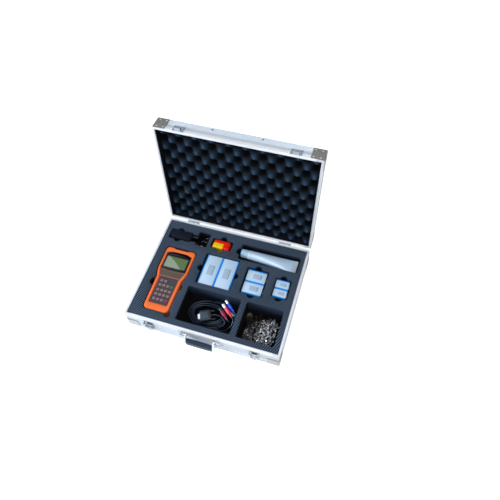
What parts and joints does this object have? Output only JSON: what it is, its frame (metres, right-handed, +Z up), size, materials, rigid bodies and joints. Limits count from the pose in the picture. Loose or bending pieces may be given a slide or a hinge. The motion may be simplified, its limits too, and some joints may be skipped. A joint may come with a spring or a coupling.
{
  "type": "portable ultrasonic flow meter kit in a carry case",
  "caption": "Handheld clamp-on ultrasonic flow meter kit laid out in foam in an open metal-edged carry case with transducers, cables, tape, couplant and charger.",
  "frame": {"origin": "middle of the open case's bounding box, on the plane that the base's corner guards stand on", "axes": "+X along the case's width, from its left to its right side as the user faces it; +Y from the handle side to the hinge side; +Z up"},
  "size_m": [0.45, 0.437, 0.4243],
  "materials": {
    "rim_aluminium": "satin anodised extrusion",
    "case_board": "silver-grey laminate",
    "edge_aluminium": "ribbed anodised edging",
    "guard_steel": "grey-beige painted guards",
    "insert_foam": "slate-blue foam, fine cut texture",
    "hinge_steel": "plated steel",
    "latch_steel": "nickel plate",
    "lid_foam": "blue-black open-cell foam",
    "grip_plastic": "blue-grey soft grip",
    "arm_chrome": "chrome",
    "lever_steel": "nickel plate",
    "wire_steel": "bright wire",
    "boot_rubber": "orange elastomer",
    "shell_plastic": "slate keypad face",
    "window_plastic": "black bezel round the display",
    "display_green": "green reflective liquid-crystal display",
    "cell_wrap": "shrink-wrapped cells",
    "socket_metal": "plated sockets",
    "strap_cord": "dark red cord",
    "probe_blue": "blue anodised housing",
    "probe_silver": "brushed silver cover",
    "wedge_resin": "amber acoustic resin",
    "socket_brass": "plated brass",
    "tube_foil": "painted aluminium tube",
    "cap_plastic": "pale blue-grey cap",
    "adapter_plastic": "blue-black plastic",
    "lead_rubber": "black cable",
    "tape_plastic": "yellow body with red cover",
    "cable_rubber": "black cable",
    "plug_red": "red, blue and grey plugs",
    "chain_steel": "plated chain in clear film",
    "key_rubber": "grey-beige keys, one green and one red"
  },
  "bodies": {
    "case": {"base_frame": "rim_aluminium", "base_panels": "case_board", "base_edging": "edge_aluminium", "base_corners": "guard_steel", "foam_insert": "insert_foam", "base_hinges": "hinge_steel", "latch_plates": "latch_steel", "handle_brackets": "latch_steel", "meter_boot": "boot_rubber", "meter_front_shell": "shell_plastic", "meter_rear_shell": "shell_plastic", "meter_window": "window_plastic", "display_board": "display_green", "battery_pack": "cell_wrap", "meter_sockets": "socket_metal", "wrist_strap": "strap_cord", "transducer_shells": "probe_blue", "transducer_covers": "probe_silver", "transducer_wedges": "wedge_resin", "transducer_sockets": "socket_brass", "grease_tube": "tube_foil", "adapter_case": "adapter_plastic", "adapter_lead": "lead_rubber", "tape_measure": "tape_plastic", "probe_cables": "cable_rubber", "data_cable": "cable_rubber", "cable_plugs": "plug_red", "chain_bag": "chain_steel"},
    "lid": {"lid_frame": "rim_aluminium", "lid_panels": "case_board", "lid_edging": "edge_aluminium", "lid_corners": "guard_steel", "lid_foam": "lid_foam", "lid_fittings": "latch_steel", "lid_hinges": "hinge_steel"},
    "handle": {"handle_grip": "grip_plastic", "handle_arms": "arm_chrome"},
    "latch_lever_left": {"latch_lever_left": "lever_steel"},
    "latch_claw_left": {"latch_claw_left": "wire_steel"},
    "latch_lever_right": {"latch_lever_right": "lever_steel"},
    "latch_claw_right": {"latch_claw_right": "wire_steel"},
    "key_1_1": {"key_1_1": "key_rubber"},
    "key_1_2": {"key_1_2": "key_rubber"},
    "key_2_1": {"key_2_1": "key_rubber"},
    "key_2_2": {"key_2_2": "key_rubber"},
    "key_2_3": {"key_2_3": "key_rubber"},
    "key_2_4": {"key_2_4": "key_rubber"},
    "key_3_1": {"key_3_1": "key_rubber"},
    "key_3_2": {"key_3_2": "key_rubber"},
    "key_3_3": {"key_3_3": "key_rubber"},
    "key_3_4": {"key_3_4": "key_rubber"},
    "key_4_1": {"key_4_1": "key_rubber"},
    "key_4_2": {"key_4_2": "key_rubber"},
    "key_4_3": {"key_4_3": "key_rubber"},
    "key_4_4": {"key_4_4": "key_rubber"},
    "key_5_1": {"key_5_1": "key_rubber"},
    "key_5_2": {"key_5_2": "key_rubber"},
    "key_5_3": {"key_5_3": "key_rubber"},
    "key_5_4": {"key_5_4": "key_rubber"},
    "grease_cap": {"grease_cap": "cap_plastic"}
  },
  "joints": [
    {"name": "lid_hinge", "type": "hinge", "parent": "case", "child": "lid", "pos_m": [0, 0.14595, 0.0703], "axis": [1, 0, 0], "range_deg": [0, 94.8]},
    {"name": "handle_hinge", "type": "hinge", "parent": "case", "child": "handle", "pos_m": [0.001, -0.20485, 0.054], "axis": [-1, 0, 0], "range_deg": [0, 100]},
    {"name": "latch_lever_left_hinge", "type": "hinge", "parent": "case", "child": "latch_lever_left", "pos_m": [-0.153, -0.20285, 0.046], "axis": [1, 0, 0], "range_deg": [-100, 0]},
    {"name": "latch_claw_left_hinge", "type": "hinge", "parent": "latch_lever_left", "child": "latch_claw_left", "pos_m": [-0.153, -0.20685, 0.04], "axis": [-1, 0, 0], "range_deg": [0, 180]},
    {"name": "latch_lever_right_hinge", "type": "hinge", "parent": "case", "child": "latch_lever_right", "pos_m": [0.153, -0.20285, 0.046], "axis": [1, 0, 0], "range_deg": [-100, 0]},
    {"name": "latch_claw_right_hinge", "type": "hinge", "parent": "latch_lever_right", "child": "latch_claw_right", "pos_m": [0.153, -0.20685, 0.04], "axis": [-1, 0, 0], "range_deg": [0, 180]},
    {"name": "key_1_1_press", "type": "slide", "parent": "case", "child": "key_1_1", "axis": [0, 0, -1], "range_m": [0, 0.0004], "stiffness_N_per_m": 600, "springref_m": -0.0006},
    {"name": "key_1_2_press", "type": "slide", "parent": "case", "child": "key_1_2", "axis": [0, 0, -1], "range_m": [0, 0.0004], "stiffness_N_per_m": 600, "springref_m": -0.0006},
    {"name": "key_2_1_press", "type": "slide", "parent": "case", "child": "key_2_1", "axis": [0, 0, -1], "range_m": [0, 0.0004], "stiffness_N_per_m": 600, "springref_m": -0.0006},
    {"name": "key_2_2_press", "type": "slide", "parent": "case", "child": "key_2_2", "axis": [0, 0, -1], "range_m": [0, 0.0004], "stiffness_N_per_m": 600, "springref_m": -0.0006},
    {"name": "key_2_3_press", "type": "slide", "parent": "case", "child": "key_2_3", "axis": [0, 0, -1], "range_m": [0, 0.0004], "stiffness_N_per_m": 600, "springref_m": -0.0006},
    {"name": "key_2_4_press", "type": "slide", "parent": "case", "child": "key_2_4", "axis": [0, 0, -1], "range_m": [0, 0.0004], "stiffness_N_per_m": 600, "springref_m": -0.0006},
    {"name": "key_3_1_press", "type": "slide", "parent": "case", "child": "key_3_1", "axis": [0, 0, -1], "range_m": [0, 0.0004], "stiffness_N_per_m": 600, "springref_m": -0.0006},
    {"name": "key_3_2_press", "type": "slide", "parent": "case", "child": "key_3_2", "axis": [0, 0, -1], "range_m": [0, 0.0004], "stiffness_N_per_m": 600, "springref_m": -0.0006},
    {"name": "key_3_3_press", "type": "slide", "parent": "case", "child": "key_3_3", "axis": [0, 0, -1], "range_m": [0, 0.0004], "stiffness_N_per_m": 600, "springref_m": -0.0006},
    {"name": "key_3_4_press", "type": "slide", "parent": "case", "child": "key_3_4", "axis": [0, 0, -1], "range_m": [0, 0.0004], "stiffness_N_per_m": 600, "springref_m": -0.0006},
    {"name": "key_4_1_press", "type": "slide", "parent": "case", "child": "key_4_1", "axis": [0, 0, -1], "range_m": [0, 0.0004], "stiffness_N_per_m": 600, "springref_m": -0.0006},
    {"name": "key_4_2_press", "type": "slide", "parent": "case", "child": "key_4_2", "axis": [0, 0, -1], "range_m": [0, 0.0004], "stiffness_N_per_m": 600, "springref_m": -0.0006},
    {"name": "key_4_3_press", "type": "slide", "parent": "case", "child": "key_4_3", "axis": [0, 0, -1], "range_m": [0, 0.0004], "stiffness_N_per_m": 600, "springref_m": -0.0006},
    {"name": "key_4_4_press", "type": "slide", "parent": "case", "child": "key_4_4", "axis": [0, 0, -1], "range_m": [0, 0.0004], "stiffness_N_per_m": 600, "springref_m": -0.0006},
    {"name": "key_5_1_press", "type": "slide", "parent": "case", "child": "key_5_1", "axis": [0, 0, -1], "range_m": [0, 0.0004], "stiffness_N_per_m": 600, "springref_m": -0.0006},
    {"name": "key_5_2_press", "type": "slide", "parent": "case", "child": "key_5_2", "axis": [0, 0, -1], "range_m": [0, 0.0004], "stiffness_N_per_m": 600, "springref_m": -0.0006},
    {"name": "key_5_3_press", "type": "slide", "parent": "case", "child": "key_5_3", "axis": [0, 0, -1], "range_m": [0, 0.0004], "stiffness_N_per_m": 600, "springref_m": -0.0006},
    {"name": "key_5_4_press", "type": "slide", "parent": "case", "child": "key_5_4", "axis": [0, 0, -1], "range_m": [0, 0.0004], "stiffness_N_per_m": 600, "springref_m": -0.0006},
    {"name": "grease_cap_turn", "type": "hinge", "parent": "case", "child": "grease_cap", "pos_m": [0.028, 0.08745, 0.0552], "axis": [-0.9996, 0.0279, 0], "range_deg": [0, 540]}
  ]
}
